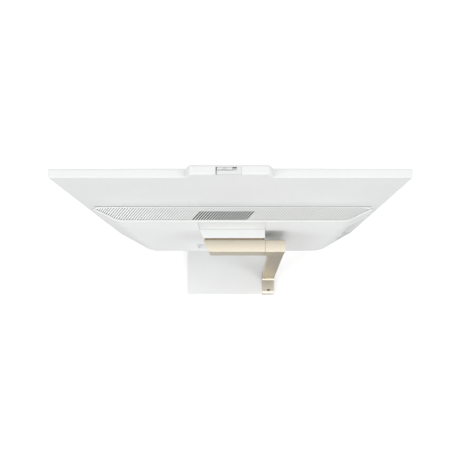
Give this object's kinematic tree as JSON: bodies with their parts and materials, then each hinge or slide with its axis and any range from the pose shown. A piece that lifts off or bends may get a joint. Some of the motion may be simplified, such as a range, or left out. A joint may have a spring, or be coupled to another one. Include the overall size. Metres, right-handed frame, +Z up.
{
  "type": "all in one computer",
  "caption": "Desktop computer built into a thin white display, with a ribbed vent ledge, rear and side sockets, and a one-sided champagne metal leg on which the screen tilts.",
  "frame": {"origin": "centre of the object's bounding box at desk level", "axes": "+Z up, the screen faces -Y, X runs along the screen; the screen stands upright at rest"},
  "size_m": [0.54, 0.205, 0.4119],
  "materials": {
    "white_shell": "satin moulded white",
    "white_grille": "satin moulded white, ribbed",
    "white_gloss": "smooth white",
    "gold_metal": "bead blasted, champagne anodised",
    "gold_shadow": "dark champagne",
    "steel": "zinc plated",
    "rubber_pad": "matte",
    "display_face": "black anti-glare face",
    "window_glass": "smoked",
    "lens_glass": "coated lens",
    "pressed_steel": "galvanised sheet",
    "panel_back": "light guide stack in a thin metal tray",
    "circuit_green": "solder mask",
    "chip_black": "moulded epoxy",
    "copper": "copper",
    "fin_metal": "mill finish",
    "black_plastic": "moulded black",
    "port_metal": "nickel plated",
    "drive_metal": "cast and plated"
  },
  "bodies": {
    "stand": {"stand_leg": "gold_metal", "base_weight": "steel", "base_plate": "white_shell", "base_screws": "steel", "rubber_feet": "rubber_pad", "hinge_shaft": "steel", "friction_washers": "steel", "hinge_nut": "steel"},
    "display_head": {"antennas": "copper", "audio_jack": "black_plastic", "blower_cover": "pressed_steel", "blower_housing": "black_plastic", "button_board": "circuit_green", "button_spring": "steel", "camera_lens": "lens_glass", "camera_module": "black_plastic", "camera_window": "window_glass", "clock_battery": "steel", "cold_plate": "copper", "cpu_package": "chip_black", "display_glass": "display_face", "drive_caddy": "pressed_steel", "front_bezel": "white_shell", "hard_drive": "drive_metal", "heat_pipe": "copper", "heatsink_fins": "fin_metal", "hinge_bracket": "steel", "hinge_cap": "gold_metal", "hinge_cover_plate": "white_shell", "hinge_neck": "white_gloss", "hinge_spacer": "gold_shadow", "lcd_module": "panel_back", "memory_modules": "circuit_green", "memory_sockets": "black_plastic", "mid_frame": "pressed_steel", "motherboard": "circuit_green", "motherboard_screws": "steel", "network_port": "black_plastic", "panel_housing": "white_shell", "power_inlet": "black_plastic", "rear_shell": "white_shell", "rear_usb_ports": "port_metal", "shutter_trim": "white_gloss", "side_socket_board": "circuit_green", "side_usb_c_port": "port_metal", "side_usb_ports": "port_metal", "solid_state_drive": "circuit_green", "speaker_boxes": "black_plastic", "speaker_drivers": "chip_black", "vent_grille": "white_grille", "video_ports": "port_metal", "wireless_card": "circuit_green"},
    "privacy_shutter": {"privacy_shutter": "white_shell"},
    "power_button": {"power_button": "white_gloss"},
    "blower_impeller": {"blower_impeller": "black_plastic"}
  },
  "joints": [
    {"name": "screen_tilt", "type": "hinge", "parent": "stand", "child": "display_head", "pos_m": [0, 0.0268, 0.1975], "axis": [-1, 0, 0], "range_deg": [-5, 20]},
    {"name": "shutter_slide", "type": "slide", "parent": "display_head", "child": "privacy_shutter", "axis": [-1, 0, 0], "range_m": [0, 0.006]},
    {"name": "power_press", "type": "slide", "parent": "display_head", "child": "power_button", "axis": [0, 0, 1], "range_m": [0, 0.0006], "stiffness_N_per_m": 400, "springref_m": -0.0004, "deforming": ["button_spring"]},
    {"name": "blower_spin", "type": "hinge", "parent": "display_head", "child": "blower_impeller", "pos_m": [0.054, -0.026, 0.196], "axis": [0, 1, 0], "continuous": true}
  ]
}
